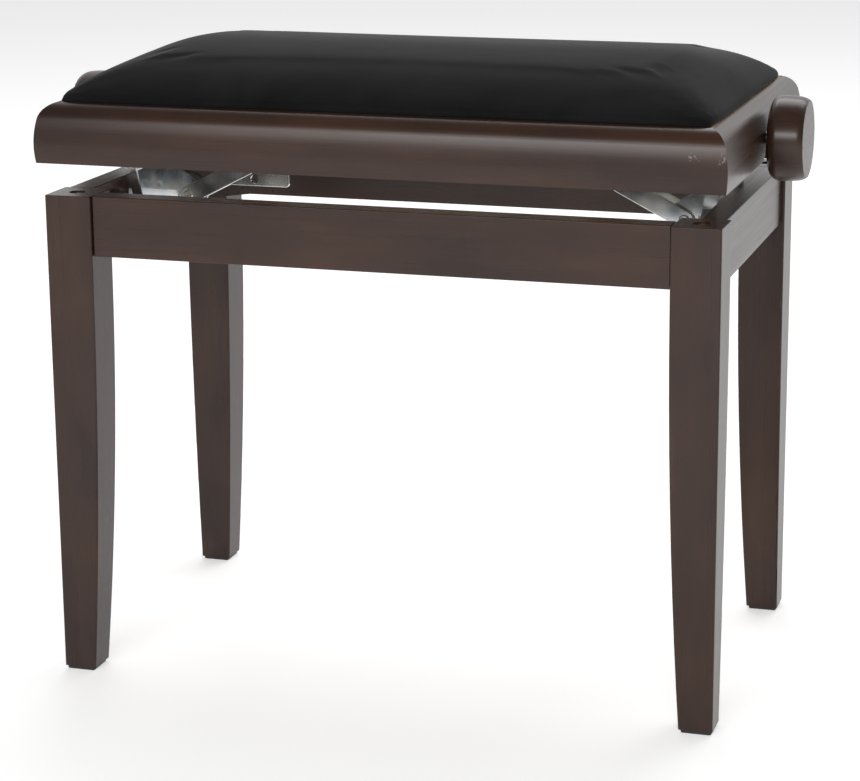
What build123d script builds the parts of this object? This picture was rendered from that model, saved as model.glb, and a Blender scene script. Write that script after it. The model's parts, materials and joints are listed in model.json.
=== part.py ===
"""Adjustable piano bench: a wooden frame on four legs and a seat lifted by a double spindle linkage.

Frame: millimetres, +Z up, +X towards the right-hand knob, -Y towards the player's legs.
The origin is on the floor under the middle of the bench. The seat is modelled 26 mm above the leg frame.
"""
import os
from math import acos, asin, atan2, cos, degrees, radians, sin

from build123d import *

os.makedirs("parts", exist_ok=True)

# ---- Leg frame -----------------------------------------------------------------------------------
FRAME_LENGTH = 540.0        # outside of the legs, along X
FRAME_DEPTH = 320.0         # outside of the legs, along Y
FRAME_TOP = 395.0           # top of legs and aprons above the floor
LEG_TOP = 38.5              # square section of a leg at the aprons
LEG_FOOT = 27.0             # square section of a leg at the floor
LEG_STRAIGHT_TO = 335.0     # the inner faces start to curve in below this height
LEG_EDGE = 1.5              # rounding of the long edges
GLIDE_HEIGHT = 3.0
GLIDE_SIZE = 24.0
GLIDE_INSET = 1.3
APRON_HEIGHT = 48.0
APRON_THICK = 20.0
APRON_INSET = 3.5           # apron face behind the leg face
APRON_GAP = 0.8             # shadow gap between apron and leg
APRON_EDGE = 0.8
TENON_THICK = 12.0
TENON_HEIGHT = 30.0
TENON_DEPTH = 15.0
TENON_BOTTOM = 351.0
INSERT_DIAMETER = 13.0      # threaded insert in the end grain of each leg
INSERT_LENGTH = 10.0
INSERT_RECESS = 2.0
INSERT_BORE = 6.0
BRACE_NEAR = 35.0           # corner brace, along the aprons from their inside corner
BRACE_FAR = 60.0
BRACE_HEIGHT = 36.0

# ---- Seat frame and cushion ----------------------------------------------------------------------
SEAT_LENGTH = 549.0
SEAT_DEPTH = 332.0
SEAT_BOTTOM = 421.0         # underside of the seat rails in the modelled position
SEAT_TOP = 468.1            # crest of the seat rails
RAIL_WIDTH = 26.0
RAIL_ROUND = 16.5           # large round on the upper outside edge
RAIL_SWELL = 90.0           # radius of the swelling outer face
RAIL_WIDEST = 435.0         # height at which the outer face stands proudest
RABBET_FROM = 14.5          # the rabbet for the cushion board starts this far in
RABBET_DEPTH = 10.1
BOARD_THICK = 9.0
BOARD_GAP = 0.5
CUSHION_TOP = 505.0
CUSHION_SHOULDER = 491.0
SEAT_BLOCK_LEG = 42.0       # triangular glue blocks inside the seat frame
SEAT_BLOCK_THICK = 16.0

# ---- Spindle and knobs ---------------------------------------------------------------------------
SPINDLE_HEIGHT = 438.8
SPINDLE_DIAMETER = 10.0
SPINDLE_END = 300.0
CORE_DIAMETER = 8.6         # plain middle, turned below the thread
CORE_HALF = 40.0
RUNNING_FIT = 0.05          # radial clearance of everything that turns on a pin or slides on the spindle
SLOT_WIDTH = 11.5
KNOB_DIAMETER = 67.0
KNOB_INNER = 278.0
KNOB_OUTER = 307.0
KNOB_RIM = 8.0              # rounding of the rim towards the seat
KNOB_FACE_DIAMETER = 60.6
KNOB_SHOULDER = 7.0         # the side rounds over to the smaller face along this length
KNOB_FACE_EDGE = 0.8
KNOB_BARREL = 0.6           # how far the side swells between the rims
KNOB_PIN_INSET = 6.0
KNOB_BORE_END = 300.5
PIN_DIAMETER = 3.0
COLLAR_DIAMETER = 15.0
COLLAR_NEAR = 236.0
COLLAR_FAR = 242.5
BUSH_DIAMETER = 13.0
BUSH_NEAR = 243.0

# ---- Lift linkage (one per end; the values are for +X) -------------------------------------------
PIVOT_X = 211.5             # base pivot, and the link pivot straight above it
PIVOT_HEIGHT = 371.5
ARM_ANGLE = 27.2            # arm above the horizontal in the modelled position
ARM_WIDTH = 15.0
ARM_INSIDE = 8.0            # arms and seat bracket lugs lie between these two distances from y = 0
ARM_OUTSIDE = 11.0
LINK_INSIDE = 12.0
LINK_OUTSIDE = 15.0
LINK_WIDTH = 13.0
CHEEK_INSIDE = 5.0
CHEEK_OUTSIDE = 7.5
SHEET = 2.5
PIVOT_PIN = 6.0
RIVET_HEAD = 9.0
RIVET_HEAD_HEIGHT = 1.6
NUT_LENGTH = 22.0
NUT_HEIGHT = 20.0
NUT_HALF_WIDTH = 7.5
FLANGE_CORNER = 4.0
PLATE_EDGE = 0.6

half_length = FRAME_LENGTH / 2
half_depth = FRAME_DEPTH / 2
apron_bottom = FRAME_TOP - APRON_HEIGHT
inner_x = half_length - APRON_INSET - APRON_THICK      # inside face of the end aprons
inner_y = half_depth - APRON_INSET - APRON_THICK       # inside face of the long aprons
seat_x = SEAT_LENGTH / 2
seat_y = SEAT_DEPTH / 2
rail_inner_x = seat_x - RAIL_WIDTH
board_bottom = SEAT_TOP - RABBET_DEPTH
arm_rise = SPINDLE_HEIGHT - PIVOT_HEIGHT
ARM_LENGTH = arm_rise / sin(radians(ARM_ANGLE))
nut_x = PIVOT_X - ARM_LENGTH * cos(radians(ARM_ANGLE))
middle_x = (PIVOT_X + nut_x) / 2
middle_z = (PIVOT_HEIGHT + SPINDLE_HEIGHT) / 2

ENDS = {"left": -1, "right": 1}
SIDES = {"front": -1, "rear": 1}


def save(piece, name):
    """Label a finished sub-part and write its STEP file."""
    piece.part.label = name
    export_step(piece.part, f"parts/{name}.step")


def along_x(x, y, z, direction):
    """Plane whose normal points along +X or -X, with its own x axis along +Y."""
    return Plane(origin=(x, y, z), x_dir=(0, 1, 0), z_dir=(direction, 0, 0))


def side_plane(y):
    """Vertical XZ plane at this y: sketch x is +X, sketch y is +Z, and the normal is -Y."""
    return Plane(origin=(0, y, 0), x_dir=(1, 0, 0), z_dir=(0, -1, 0))


def make_screw(diameter, length, head_diameter, head_height, recess):
    """Countersunk screw with its flat head face at the origin and its shank along -Z."""
    with BuildPart() as screw:
        with BuildSketch(Plane.XZ):
            with BuildLine():
                Polyline(
                    (0, 0), (head_diameter / 2, 0), (diameter / 2, -head_height),
                    (diameter / 2, -length + diameter), (0, -length), (0, 0),
                )
            make_face()
        revolve(axis=Axis.Z)
        if recess:
            with BuildSketch():
                Rectangle(head_diameter * 0.55, head_diameter * 0.14)
                Rectangle(head_diameter * 0.14, head_diameter * 0.55)
            extrude(amount=-head_height * 0.5, mode=Mode.SUBTRACT)
    return screw.part


def screw_group(name, size, faces):
    """Save one group of equal screws, and give back the solid that cuts their holes in the wood."""
    with BuildPart() as screws:
        with Locations(*[face.location for face in faces]):
            add(make_screw(*size, recess=True))
    save(screws, name)
    with BuildPart() as holes:
        with Locations(*[face.location for face in faces]):
            add(make_screw(*size, recess=False))
    return holes.part


# ---- Screws, as groups: their holes are taken out of the pieces that they hold ---------------------
BRACKET_SCREW = (4.0, 16.0, 8.0, 2.0)       # diameter, length, head diameter, head height
BRACE_SCREW = (4.0, 30.0, 8.0, 2.2)
BOARD_SCREW = (4.0, 22.0, 8.0, 2.2)
BRACE_SCREW_SPREAD = 9.0                    # each way from the middle of a brace
BRACE_SCREW_HEIGHT = 371.0
BASE_PLATE_HALF = 58.0                      # the plates of the brackets, along Y and in height
BASE_PLATE_BOTTOM = 352.0
BASE_PLATE_TOP = 396.0
SEAT_PLATE_HALF = 46.0
SEAT_PLATE_BOTTOM = 425.0
SEAT_PLATE_TOP = 455.0
BOARD_SCREW_INSET = 13.0

base_bracket_holes = screw_group("base_bracket_screws", BRACKET_SCREW, [
    along_x(end * (inner_x - SHEET), y, z, -end)
    for end in ENDS.values() for y, z in ((-44, 380), (-24, 362), (24, 362), (44, 380))
])
seat_bracket_holes = screw_group("seat_bracket_screws", BRACKET_SCREW, [
    along_x(end * (rail_inner_x - SHEET), y, SPINDLE_HEIGHT + rise, -end)
    for end in ENDS.values() for y, rise in ((-36, 7), (-22, -7), (22, -7), (36, 7))
])
# a brace's face towards the middle of the bench is turned 45 degrees, and its screws enter it square
brace_holes = screw_group("brace_screws", BRACE_SCREW, [
    Plane(
        origin=(
            x_sign * (inner_x - BRACE_FAR / 2 - shift), y_sign * (inner_y - BRACE_FAR / 2 + shift),
            BRACE_SCREW_HEIGHT,
        ),
        x_dir=(0, 0, 1), z_dir=(-x_sign, -y_sign, 0),
    )
    for x_sign in (-1, 1) for y_sign in (-1, 1) for shift in (-BRACE_SCREW_SPREAD, BRACE_SCREW_SPREAD)
])
board_holes = screw_group("board_screws", BOARD_SCREW, [
    Plane(
        origin=(
            x_sign * (rail_inner_x - BOARD_SCREW_INSET),
            y_sign * (seat_y - RAIL_WIDTH - BOARD_SCREW_INSET), board_bottom - SEAT_BLOCK_THICK,
        ),
        x_dir=(1, 0, 0), z_dir=(0, 0, -1),
    )
    for x_sign in (-1, 1) for y_sign in (-1, 1)
])

# ---- Aprons: a board with a tenon at each end ----------------------------------------------------


def make_apron(plane, span):
    """Apron standing on the XY origin of the plane, with its length along the plane's x axis."""
    with BuildPart(plane) as apron:
        body_length = span - 2 * APRON_GAP
        with Locations((0, 0, apron_bottom)):
            Box(body_length, APRON_THICK, APRON_HEIGHT, align=(Align.CENTER, Align.CENTER, Align.MIN))
        long_edges = apron.edges().filter_by(lambda edge: edge.length > body_length - 1)
        fillet(long_edges, APRON_EDGE)
        with Locations((0, 0, TENON_BOTTOM)):
            Box(
                span + 2 * TENON_DEPTH, TENON_THICK, TENON_HEIGHT,
                align=(Align.CENTER, Align.CENTER, Align.MIN),
            )
    return apron.part


leg_clear_x = 2 * (half_length - LEG_TOP)
leg_clear_y = 2 * (half_depth - LEG_TOP)
apron_y = half_depth - APRON_INSET - APRON_THICK / 2
apron_x = half_length - APRON_INSET - APRON_THICK / 2
tenon_cutters = []
for name, sign in (("front_apron", -1), ("back_apron", 1)):
    with BuildPart() as long_apron:
        add(make_apron(Plane(origin=(0, sign * apron_y, 0)), leg_clear_x))
        add(brace_holes, mode=Mode.SUBTRACT)
    tenon_cutters.append(long_apron.part)
    save(long_apron, name)
for name, sign in (("left_apron", -1), ("right_apron", 1)):
    with BuildPart() as end_apron:
        add(make_apron(Plane(origin=(sign * apron_x, 0, 0), x_dir=(0, 1, 0), z_dir=(0, 0, 1)), leg_clear_y))
        add(brace_holes, mode=Mode.SUBTRACT)
        add(base_bracket_holes, mode=Mode.SUBTRACT)
    tenon_cutters.append(end_apron.part)
    save(end_apron, name)

# ---- Legs: two straight outer faces and two inner faces that curve in towards the foot -------------


def leg_side(plane):
    """Side view of a leg from its outer corner: straight at the aprons, then one tangent arc."""
    with BuildSketch(plane) as side:
        with BuildLine():
            Line((0, GLIDE_HEIGHT), (0, FRAME_TOP))
            Line((0, FRAME_TOP), (LEG_TOP, FRAME_TOP))
            Line((LEG_TOP, FRAME_TOP), (LEG_TOP, LEG_STRAIGHT_TO))
            TangentArc((LEG_TOP, LEG_STRAIGHT_TO), (LEG_FOOT, GLIDE_HEIGHT), tangent=(0, -1))
            Line((LEG_FOOT, GLIDE_HEIGHT), (0, GLIDE_HEIGHT))
        make_face()
    return side.sketch


leg_corner = (-half_length, -half_depth, 0)
with BuildPart() as leg_blank:
    extrude(leg_side(Plane(origin=leg_corner, x_dir=(1, 0, 0), z_dir=(0, -1, 0))), amount=-LEG_TOP)
    extrude(
        leg_side(Plane(origin=leg_corner, x_dir=(0, 1, 0), z_dir=(1, 0, 0))),
        amount=LEG_TOP, mode=Mode.INTERSECT,
    )
    fillet(leg_blank.edges().filter_by(lambda edge: edge.length > LEG_TOP + 5), LEG_EDGE)
    fillet(leg_blank.faces().sort_by(Axis.Z)[-1].edges(), 0.6)
    leg_centre = (-half_length + LEG_TOP / 2, -half_depth + LEG_TOP / 2, FRAME_TOP)
    with Locations(leg_centre):
        Hole(INSERT_DIAMETER / 2, depth=INSERT_LENGTH + INSERT_RECESS)

with BuildPart() as insert_blank:
    with Locations((leg_centre[0], leg_centre[1], FRAME_TOP - INSERT_RECESS)):
        Cylinder(INSERT_DIAMETER / 2, INSERT_LENGTH, align=(Align.CENTER, Align.CENTER, Align.MAX))
        Hole(INSERT_BORE / 2)
    chamfer(insert_blank.faces().sort_by(Axis.Z)[-1].edges().sort_by(SortBy.RADIUS)[0], 1.0)

with BuildPart() as glide_blank:
    corner = (-half_length + GLIDE_INSET, -half_depth + GLIDE_INSET, 0)
    with Locations(corner):
        Box(GLIDE_SIZE, GLIDE_SIZE, GLIDE_HEIGHT, align=(Align.MIN, Align.MIN, Align.MIN))
    fillet(glide_blank.edges().filter_by(Axis.Z), 2.0)
    chamfer(glide_blank.faces().sort_by(Axis.Z)[0].edges(), 0.6)


def mirrored_to(blank, x_sign, y_sign):
    """Add the front left blank to the running part, mirrored to the corner with these signs."""
    if x_sign > 0:
        blank = blank.mirror(Plane.YZ)
    if y_sign > 0:
        blank = blank.mirror(Plane.XZ)
    add(blank)


for x_name, x_sign in ENDS.items():
    for y_name, y_sign in (("front", -1), ("back", 1)):
        with BuildPart() as leg:
            mirrored_to(leg_blank.part, x_sign, y_sign)
            for cutter in tenon_cutters:
                add(cutter, mode=Mode.SUBTRACT)
        save(leg, f"{y_name}_{x_name}_leg")

with BuildPart() as leg_inserts:
    for x_sign in (-1, 1):
        for y_sign in (-1, 1):
            mirrored_to(insert_blank.part, x_sign, y_sign)
save(leg_inserts, "leg_inserts")

with BuildPart() as leg_glides:
    for x_sign in (-1, 1):
        for y_sign in (-1, 1):
            mirrored_to(glide_blank.part, x_sign, y_sign)
save(leg_glides, "leg_glides")

with BuildPart() as brace_blank:
    with BuildSketch(Plane(origin=(-inner_x, -inner_y, TENON_BOTTOM))):
        with BuildLine():
            Polyline((BRACE_NEAR, 0), (BRACE_FAR, 0), (0, BRACE_FAR), (0, BRACE_NEAR), (BRACE_NEAR, 0))
        make_face()
    extrude(amount=BRACE_HEIGHT)
with BuildPart() as corner_braces:
    for x_sign in (-1, 1):
        for y_sign in (-1, 1):
            mirrored_to(brace_blank.part, x_sign, y_sign)
    add(brace_holes, mode=Mode.SUBTRACT)
save(corner_braces, "corner_braces")

# ---- Seat rails: moulded section, mitred at the corners --------------------------------------------


def rail_section(plane):
    """Section from the outer face inwards: swelling face, big round, rabbet for the cushion board.

    The round touches the swelling face without a kink, so its centre follows from the two radii.
    """
    round_height = SEAT_TOP - RAIL_ROUND
    centre_gap = RAIL_SWELL - RAIL_ROUND
    join_angle = asin((round_height - RAIL_WIDEST) / centre_gap)
    round_inset = RAIL_SWELL - centre_gap * cos(join_angle)
    foot_inset = RAIL_SWELL - (RAIL_SWELL**2 - (RAIL_WIDEST - SEAT_BOTTOM) ** 2) ** 0.5
    rabbet_angle = acos((round_inset - RABBET_FROM) / RAIL_ROUND)

    def on_round(angle):
        return (round_inset - RAIL_ROUND * cos(angle), round_height + RAIL_ROUND * sin(angle))

    rabbet_edge = on_round(rabbet_angle)
    with BuildSketch(plane) as section:
        with BuildLine():
            ThreePointArc((foot_inset, SEAT_BOTTOM), (0, RAIL_WIDEST), on_round(join_angle))
            ThreePointArc(on_round(join_angle), on_round((join_angle + rabbet_angle) / 2), rabbet_edge)
            Polyline(
                rabbet_edge, (RABBET_FROM, board_bottom), (RAIL_WIDTH, board_bottom),
                (RAIL_WIDTH, SEAT_BOTTOM), (foot_inset, SEAT_BOTTOM),
            )
        make_face()
    return section.sketch


with BuildPart() as long_rail_blank:
    extrude(
        rail_section(Plane(origin=(-seat_x, -seat_y, 0), x_dir=(0, 1, 0), z_dir=(1, 0, 0))),
        amount=SEAT_LENGTH,
    )
    for x_sign in (-1, 1):
        split(bisect_by=Plane(origin=(x_sign * seat_x, -seat_y, 0), z_dir=(-x_sign, -1, 0)))

with BuildPart() as end_rail_blank:
    extrude(
        rail_section(Plane(origin=(-seat_x, seat_y, 0), x_dir=(1, 0, 0), z_dir=(0, -1, 0))),
        amount=SEAT_DEPTH,
    )
    for y_sign in (-1, 1):
        split(bisect_by=Plane(origin=(-seat_x, y_sign * seat_y, 0), z_dir=(-1, -y_sign, 0)))
    # keyhole slot, open at the bottom, that lets the spindle be dropped in
    with BuildSketch(Plane(origin=(-seat_x - 1, 0, 0), x_dir=(0, 1, 0), z_dir=(1, 0, 0))):
        with Locations((0, SPINDLE_HEIGHT)):
            Circle(SLOT_WIDTH / 2)
        with Locations((0, SPINDLE_HEIGHT)):
            Rectangle(SLOT_WIDTH, SPINDLE_HEIGHT - SEAT_BOTTOM + 1, align=(Align.CENTER, Align.MAX))
    extrude(amount=RAIL_WIDTH + 2, mode=Mode.SUBTRACT)

for name, y_sign in (("front_seat_rail", -1), ("back_seat_rail", 1)):
    with BuildPart() as long_rail:
        mirrored_to(long_rail_blank.part, -1, y_sign)
    save(long_rail, name)
for name, x_sign in (("left_seat_rail", -1), ("right_seat_rail", 1)):
    with BuildPart() as end_rail:
        mirrored_to(end_rail_blank.part, x_sign, -1)
        add(seat_bracket_holes, mode=Mode.SUBTRACT)
    save(end_rail, name)

with BuildPart() as seat_block_blank:
    with BuildSketch(Plane(origin=(-rail_inner_x, -seat_y + RAIL_WIDTH, board_bottom - SEAT_BLOCK_THICK))):
        with BuildLine():
            Polyline((0, 0), (SEAT_BLOCK_LEG, 0), (0, SEAT_BLOCK_LEG), (0, 0))
        make_face()
    extrude(amount=SEAT_BLOCK_THICK)
with BuildPart() as seat_corner_blocks:
    for x_sign in (-1, 1):
        for y_sign in (-1, 1):
            mirrored_to(seat_block_blank.part, x_sign, y_sign)
    add(board_holes, mode=Mode.SUBTRACT)
save(seat_corner_blocks, "seat_corner_blocks")

board_length = SEAT_LENGTH - 2 * (RABBET_FROM + BOARD_GAP)
board_depth = SEAT_DEPTH - 2 * (RABBET_FROM + BOARD_GAP)
with BuildPart() as cushion_board:
    with Locations((0, 0, board_bottom)):
        Box(board_length, board_depth, BOARD_THICK, align=(Align.CENTER, Align.CENTER, Align.MIN))
    fillet(cushion_board.edges().filter_by(Axis.Z), 3.0)
    add(board_holes, mode=Mode.SUBTRACT)
save(cushion_board, "cushion_board")

with BuildPart() as seat_cushion:
    cushion_bottom = board_bottom + BOARD_THICK
    for height, inset, corner in (
        (cushion_bottom, 0.0, 5.0), (CUSHION_SHOULDER, 18.0, 16.0), (CUSHION_TOP, 64.0, 40.0),
    ):
        with BuildSketch(Plane.XY.offset(height)):
            RectangleRounded(board_length - 2 * inset, board_depth - 2 * inset, corner)
    loft(ruled=True)
save(seat_cushion, "seat_cushion")

# ---- Spindle group: everything here turns with the knobs ------------------------------------------
spindle_axis = Plane(origin=(0, 0, SPINDLE_HEIGHT), x_dir=(0, 1, 0), z_dir=(1, 0, 0))

with BuildPart() as knob_pins:
    for end in ENDS.values():
        with BuildSketch(Plane(origin=(end * (KNOB_INNER + KNOB_PIN_INSET), 0, SPINDLE_HEIGHT))):
            Circle(PIN_DIAMETER / 2)
        extrude(amount=SPINDLE_DIAMETER, both=True)
save(knob_pins, "knob_pins")

with BuildPart() as spindle:
    with BuildSketch(spindle_axis):
        Circle(SPINDLE_DIAMETER / 2)
    extrude(amount=SPINDLE_END, both=True)
    chamfer(spindle.edges().filter_by(GeomType.CIRCLE), 0.8)
    with BuildSketch(spindle_axis):
        Circle(SPINDLE_DIAMETER / 2 + 1)
        Circle(CORE_DIAMETER / 2, mode=Mode.SUBTRACT)
    extrude(amount=CORE_HALF, both=True, mode=Mode.SUBTRACT)
    add(knob_pins.part, mode=Mode.SUBTRACT)
save(spindle, "spindle")

with BuildPart() as spindle_collars:
    for end in ENDS.values():
        with BuildSketch(along_x(end * COLLAR_NEAR, 0, SPINDLE_HEIGHT, end)):
            Circle(COLLAR_DIAMETER / 2)
            Circle(SPINDLE_DIAMETER / 2, mode=Mode.SUBTRACT)
        extrude(amount=COLLAR_FAR - COLLAR_NEAR)
    outer_edges = spindle_collars.edges().filter_by(GeomType.CIRCLE).filter_by(
        lambda edge: edge.radius > SPINDLE_DIAMETER / 2 + 1
    )
    chamfer(outer_edges, 0.6)
save(spindle_collars, "spindle_collars")

knob_radius = KNOB_DIAMETER / 2
with BuildPart() as knob_blank:
    # turned profile above the spindle's axis: large inner rim, barrel side, shoulder, flat face
    knob_rim_z = SPINDLE_HEIGHT + knob_radius - KNOB_BARREL
    knob_face_z = SPINDLE_HEIGHT + KNOB_FACE_DIAMETER / 2
    shoulder_x = KNOB_OUTER - KNOB_SHOULDER
    with BuildSketch(side_plane(0)) as knob_side:
        with BuildLine():
            Line((KNOB_INNER, SPINDLE_HEIGHT), (KNOB_INNER, knob_rim_z))
            ThreePointArc(
                (KNOB_INNER, knob_rim_z),
                ((KNOB_INNER + shoulder_x) / 2, SPINDLE_HEIGHT + knob_radius),
                (shoulder_x, knob_rim_z),
            )
            TangentArc((shoulder_x, knob_rim_z), (KNOB_OUTER, knob_face_z), tangent=(1, -0.1))
            Line((KNOB_OUTER, knob_face_z), (KNOB_OUTER, SPINDLE_HEIGHT))
            Line((KNOB_OUTER, SPINDLE_HEIGHT), (KNOB_INNER, SPINDLE_HEIGHT))
        make_face()
        fillet(knob_side.vertices().group_by(Axis.X)[0].sort_by(Axis.Y)[-1], KNOB_RIM)
        fillet(knob_side.vertices().group_by(Axis.X)[-1].sort_by(Axis.Y)[-1], KNOB_FACE_EDGE)
    revolve(axis=Axis((0, 0, SPINDLE_HEIGHT), (1, 0, 0)))
    with BuildSketch(along_x(KNOB_INNER - 1, 0, SPINDLE_HEIGHT, 1)):
        Circle(SPINDLE_DIAMETER / 2)
    extrude(amount=KNOB_BORE_END - KNOB_INNER + 1, mode=Mode.SUBTRACT)
for name, end in ENDS.items():
    with BuildPart() as knob:
        add(knob_blank.part if end > 0 else knob_blank.part.mirror(Plane.YZ))
        add(knob_pins.part, mode=Mode.SUBTRACT)
    save(knob, f"{name}_knob")

# ---- Brackets -------------------------------------------------------------------------------------


CHEEK_NOSE = 11.0           # rounded nose about the arm pivot
CHEEK_STEP = 24.0           # from the plate, level top edge of the gusset
CHEEK_TOP_DROP = 1.5
CHEEK_BOTTOM = 375.0
CHEEK_HOLE = (8.5, 8.8)     # lightening hole: from the plate, and above the pivot
CHEEK_HOLE_RADIUS = 2.5
EAR_TOP = 402.0             # slanted ears at both ends of the plate
EAR_MIDDLE = 384.0
EAR_BOTTOM = 362.0
EAR_NEAR = 5.0
EAR_SHOULDER = 9.0
EAR_FAR = 17.0
LUG_RADIUS = 9.0            # lugs of the seat bracket about the link pivot
LUG_ROOT = 12.0


def base_cheek(y_high):
    """Side view of a cheek of the base bracket: a gusset with a rounded nose for the arm pivot."""
    with BuildSketch(side_plane(y_high)) as cheek:
        with BuildLine():
            Polyline(
                (inner_x, CHEEK_BOTTOM), (inner_x, BASE_PLATE_TOP),
                (inner_x - CHEEK_STEP, BASE_PLATE_TOP - CHEEK_TOP_DROP),
                (PIVOT_X - CHEEK_NOSE, PIVOT_HEIGHT + CHEEK_NOSE),
                (PIVOT_X - CHEEK_NOSE, PIVOT_HEIGHT), (PIVOT_X, PIVOT_HEIGHT),
                (PIVOT_X + CHEEK_NOSE / 2, CHEEK_BOTTOM), (inner_x, CHEEK_BOTTOM),
            )
        make_face()
        with Locations((PIVOT_X, PIVOT_HEIGHT)):
            Circle(CHEEK_NOSE)
    return cheek.sketch


with BuildPart() as base_bracket_blank:
    with BuildSketch(along_x(inner_x, 0, (BASE_PLATE_BOTTOM + BASE_PLATE_TOP) / 2, -1)):
        RectangleRounded(2 * BASE_PLATE_HALF, BASE_PLATE_TOP - BASE_PLATE_BOTTOM, FLANGE_CORNER)
    extrude(amount=SHEET)
    extrude(base_cheek(-CHEEK_INSIDE), amount=SHEET)
    extrude(base_cheek(CHEEK_OUTSIDE), amount=SHEET)
    with BuildSketch(side_plane(CHEEK_OUTSIDE + 1)):
        with Locations((PIVOT_X, PIVOT_HEIGHT)):
            Circle(PIVOT_PIN / 2 + RUNNING_FIT)
        with Locations((inner_x - CHEEK_HOLE[0], PIVOT_HEIGHT + CHEEK_HOLE[1])):
            Circle(CHEEK_HOLE_RADIUS)
    extrude(amount=2 * CHEEK_OUTSIDE + 2, mode=Mode.SUBTRACT)
    for ear_y in (-BASE_PLATE_HALF, BASE_PLATE_HALF - SHEET):
        with BuildSketch(side_plane(ear_y + SHEET)):
            with BuildLine():
                Polyline(
                    (inner_x, EAR_MIDDLE), (inner_x, EAR_TOP), (inner_x - EAR_SHOULDER, EAR_TOP),
                    (inner_x - EAR_FAR, EAR_BOTTOM), (inner_x - EAR_SHOULDER, EAR_BOTTOM),
                    (inner_x - EAR_NEAR, EAR_MIDDLE), (inner_x, EAR_MIDDLE),
                )
            make_face()
        extrude(amount=SHEET)
for name, end in ENDS.items():
    with BuildPart() as base_bracket:
        mirrored_to(base_bracket_blank.part.mirror(Plane.YZ), end, -1)
        add(base_bracket_holes, mode=Mode.SUBTRACT)
    save(base_bracket, f"{name}_base_bracket")

with BuildPart() as seat_bracket_blank:
    with BuildSketch(along_x(rail_inner_x, 0, (SEAT_PLATE_BOTTOM + SEAT_PLATE_TOP) / 2, -1)):
        RectangleRounded(2 * SEAT_PLATE_HALF, SEAT_PLATE_TOP - SEAT_PLATE_BOTTOM, FLANGE_CORNER)
    extrude(amount=SHEET)
    for y_low in (-ARM_OUTSIDE, ARM_INSIDE):
        with BuildSketch(side_plane(y_low + ARM_OUTSIDE - ARM_INSIDE)):
            with Locations((PIVOT_X, SPINDLE_HEIGHT)):
                Circle(LUG_RADIUS)
            with BuildLine():
                Polyline(
                    (PIVOT_X, SPINDLE_HEIGHT - LUG_RADIUS), (rail_inner_x, SPINDLE_HEIGHT - LUG_ROOT),
                    (rail_inner_x, SPINDLE_HEIGHT + LUG_ROOT), (PIVOT_X, SPINDLE_HEIGHT + LUG_RADIUS),
                    (PIVOT_X, SPINDLE_HEIGHT - LUG_RADIUS),
                )
            make_face()
        extrude(amount=ARM_OUTSIDE - ARM_INSIDE)
    with BuildSketch(side_plane(ARM_OUTSIDE + 1)):
        with Locations((PIVOT_X, SPINDLE_HEIGHT)):
            Circle(PIVOT_PIN / 2 + RUNNING_FIT)
    extrude(amount=2 * ARM_OUTSIDE + 2, mode=Mode.SUBTRACT)
    with BuildSketch(along_x(rail_inner_x + 1, 0, SPINDLE_HEIGHT, -1)):
        Circle(BUSH_DIAMETER / 2)
    extrude(amount=SHEET + 2, mode=Mode.SUBTRACT)
for name, end in ENDS.items():
    with BuildPart() as seat_bracket:
        mirrored_to(seat_bracket_blank.part.mirror(Plane.YZ), end, -1)
        add(seat_bracket_holes, mode=Mode.SUBTRACT)
    save(seat_bracket, f"{name}_seat_bracket")

with BuildPart() as spindle_bushes:
    for end in ENDS.values():
        with BuildSketch(along_x(end * BUSH_NEAR, 0, SPINDLE_HEIGHT, end)):
            Circle(BUSH_DIAMETER / 2)
            Circle(SPINDLE_DIAMETER / 2 + RUNNING_FIT, mode=Mode.SUBTRACT)
        extrude(amount=rail_inner_x - BUSH_NEAR)
save(spindle_bushes, "spindle_bushes")

# ---- Nuts, arms and links, drawn at the right-hand end and mirrored to the left --------------------


def make_rivet(x, z, y_head, y_end):
    """Pivot pin along Y with a domed head beyond y_head, flush at y_end."""
    plane = Plane(origin=(x, y_head, z), x_dir=(1, 0, 0), z_dir=(0, 1 if y_head > y_end else -1, 0))
    with BuildPart() as rivet:
        with BuildSketch(plane):
            Circle(PIVOT_PIN / 2)
        extrude(amount=-abs(y_head - y_end))
        with BuildSketch(plane):
            Circle(RIVET_HEAD / 2)
        extrude(amount=RIVET_HEAD_HEIGHT, taper=30)
    return rivet.part


def make_bar(start, end, width, y_inside, y_outside):
    """Flat bar with round ends about two pivots, standing between two distances from y = 0."""
    (x_start, z_start), (x_end, z_end) = start, end
    with BuildPart() as bar:
        with BuildSketch(side_plane(max(y_inside, y_outside))):
            with Locations(((x_start + x_end) / 2, (z_start + z_end) / 2)):
                length = ((x_end - x_start) ** 2 + (z_end - z_start) ** 2) ** 0.5
                angle = degrees(atan2(z_end - z_start, x_end - x_start))
                SlotCenterToCenter(length, width, rotation=angle)
        extrude(amount=abs(y_outside - y_inside))
        fillet(bar.edges().group_by(Axis.Y)[0] + bar.edges().group_by(Axis.Y)[-1], PLATE_EDGE)
    return bar.part


def make_holes(radius, points):
    """Cutter: one rod along Y, right through the mechanism, at each of these points."""
    with BuildPart() as rods:
        with BuildSketch(side_plane(0)):
            with Locations(*points):
                Circle(radius)
        extrude(amount=2 * LINK_OUTSIDE, both=True)
    return rods.part


base_pivot = (PIVOT_X, PIVOT_HEIGHT)
nut_pivot = (nut_x, SPINDLE_HEIGHT)
middle_pivot = (middle_x, middle_z)
link_pivot = (PIVOT_X, SPINDLE_HEIGHT)
TAB_OUTER = 121.8           # the left front arm has a drilled tab that lies level in this position
TAB_BOTTOM = 382.0
TAB_HOLE = (152.4, 387.6)
TAB_HOLE_RADIUS = 3.6
TAB_LENGTH = 60.0
TAB_WIDTH = 13.0
TAB_CORNER = 3.0
TAB_STEP = 1.2

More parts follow.
